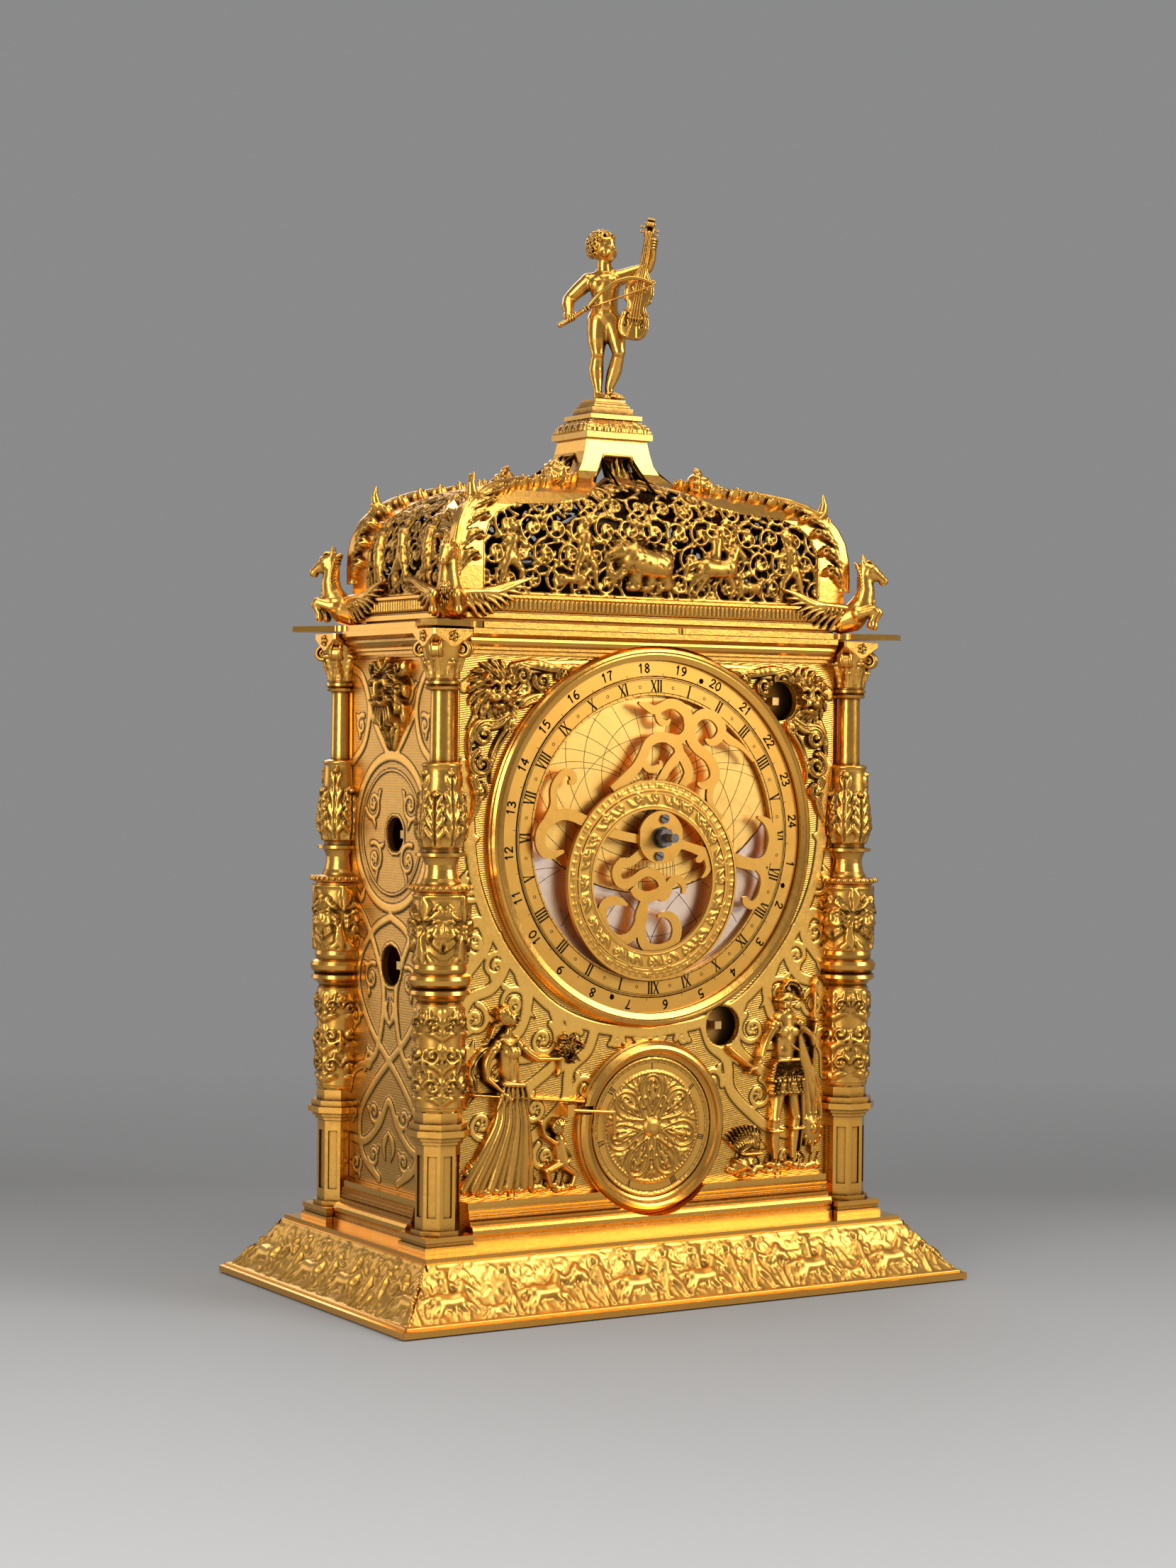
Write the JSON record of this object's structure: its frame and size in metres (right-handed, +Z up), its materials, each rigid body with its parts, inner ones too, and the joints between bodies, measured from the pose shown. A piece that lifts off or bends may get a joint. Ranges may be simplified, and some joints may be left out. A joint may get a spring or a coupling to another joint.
{
  "type": "tabletop astronomical clock",
  "caption": "Gilt tabletop tower clock with corner columns, pierced dome, putto finial, astrolabe dial with turning star map, weekday dial and a wheel train with bell.",
  "frame": {"origin": "centre of the foot's underside", "axes": "+Z up, +X to the right of someone who looks at the main dial, the dial faces -Y"},
  "size_m": [0.267, 0.164, 0.4401],
  "materials": {
    "gilt": "fire-gilt brass, worn to orange brown in the hollows",
    "silvered": "silvered brass, dulled and slightly pink",
    "brass": "plain brushed brass of the movement",
    "dark_steel": "dark polished steel"
  },
  "bodies": {
    "case": {"base_plate": "gilt", "foot_long": "gilt", "foot_short": "gilt", "plinth_mouldings": "gilt", "cornice_mouldings": "gilt", "column_front_left": "gilt", "column_front_right": "gilt", "column_back_left": "gilt", "column_back_right": "gilt", "front_plate": "gilt", "back_plate": "gilt", "left_plate": "gilt", "right_plate": "gilt", "corner_posts": "brass", "top_plate": "gilt", "dial_bezel": "gilt", "chapter_ring": "gilt", "tympan": "silvered", "calendar_bezel": "gilt", "calendar_pointer": "gilt", "lion_mounts": "gilt", "woman_relief": "gilt", "warrior_relief": "gilt", "side_masks": "gilt", "movement_front_plate": "brass", "movement_back_plate": "brass", "escapement_cocks": "brass", "side_bracket": "brass", "bell": "brass", "bell_stand": "dark_steel"},
    "dome": {"dome_frieze": "gilt", "dome_frame": "gilt", "roof_panel_front": "gilt", "roof_panel_back": "gilt", "roof_panel_left": "gilt", "roof_panel_right": "gilt", "corner_straps": "gilt", "winged_horses": "gilt", "neck_cap": "gilt", "finial_pedestal": "gilt", "putto": "gilt", "viol": "gilt", "bow": "gilt"},
    "dial": {"dial_wheel": "brass", "dial_arbor": "dark_steel", "rete": "gilt", "hub_plate": "gilt", "hub_screws": "gilt", "centre_nut": "dark_steel"},
    "hour_ring": {"hour_ring": "gilt"},
    "calendar": {"calendar_disc": "gilt", "calendar_boss": "gilt"},
    "going_barrel": {"going_barrel": "brass"},
    "second_wheel": {"second_wheel": "brass"},
    "crown_wheel": {"crown_wheel": "brass"},
    "verge": {"verge_balance": "dark_steel"},
    "strike_barrel": {"strike_barrel": "brass"},
    "quarter_barrel": {"quarter_barrel": "brass"},
    "alarm_barrel": {"alarm_barrel": "brass"},
    "hammer": {"hammer": "dark_steel"}
  },
  "joints": [
    {"name": "dome_lift", "type": "slide", "parent": "case", "child": "dome", "axis": [0, 0, 1], "range_m": [0, 0.06]},
    {"name": "dial_turn", "type": "hinge", "parent": "case", "child": "dial", "pos_m": [0, 0, 0.1848], "axis": [0, 1, 0], "continuous": true},
    {"name": "hour_ring_turn", "type": "hinge", "parent": "case", "child": "hour_ring", "pos_m": [0, 0, 0.1848], "axis": [0, 1, 0], "continuous": true},
    {"name": "calendar_turn", "type": "hinge", "parent": "case", "child": "calendar", "pos_m": [0, 0, 0.0672], "axis": [0, 1, 0], "continuous": true},
    {"name": "second_turn", "type": "hinge", "parent": "case", "child": "second_wheel", "pos_m": [0.00764, 0, 0.1227], "axis": [0, 1, 0], "continuous": true},
    {"name": "going_turn", "type": "hinge", "parent": "case", "child": "going_barrel", "pos_m": [0.0357, 0, 0.1065], "axis": [0, 1, 0], "continuous": true},
    {"name": "crown_turn", "type": "hinge", "parent": "case", "child": "crown_wheel", "pos_m": [-0.0005, 0, 0.14506], "axis": [0, 1, 0], "continuous": true},
    {"name": "verge_swing", "type": "hinge", "parent": "case", "child": "verge", "pos_m": [-0.0005, 0.0185, 0.14506], "axis": [0, 0, 1], "range_deg": [-40, 40]},
    {"name": "strike_turn", "type": "hinge", "parent": "case", "child": "strike_barrel", "pos_m": [0.0629, 0, 0.24079], "axis": [0, 1, 0], "continuous": true},
    {"name": "quarter_turn", "type": "hinge", "parent": "case", "child": "quarter_barrel", "pos_m": [-0.07, -0.0008, 0.1325], "axis": [1, 0, 0], "continuous": true},
    {"name": "alarm_turn", "type": "hinge", "parent": "case", "child": "alarm_barrel", "pos_m": [-0.07, -0.003, 0.1852], "axis": [1, 0, 0], "continuous": true},
    {"name": "hammer_swing", "type": "hinge", "parent": "case", "child": "hammer", "pos_m": [-0.044, 0, 0.2744], "axis": [0, 1, 0], "range_deg": [-9, 0]}
  ],
  "couplings": [
    {"joint": "second_turn", "follows": "crown_turn", "ratio": -0.13333},
    {"joint": "going_turn", "follows": "crown_turn", "ratio": 0.016667},
    {"joint": "dial_turn", "follows": "crown_turn", "ratio": 0.014815}
  ]
}
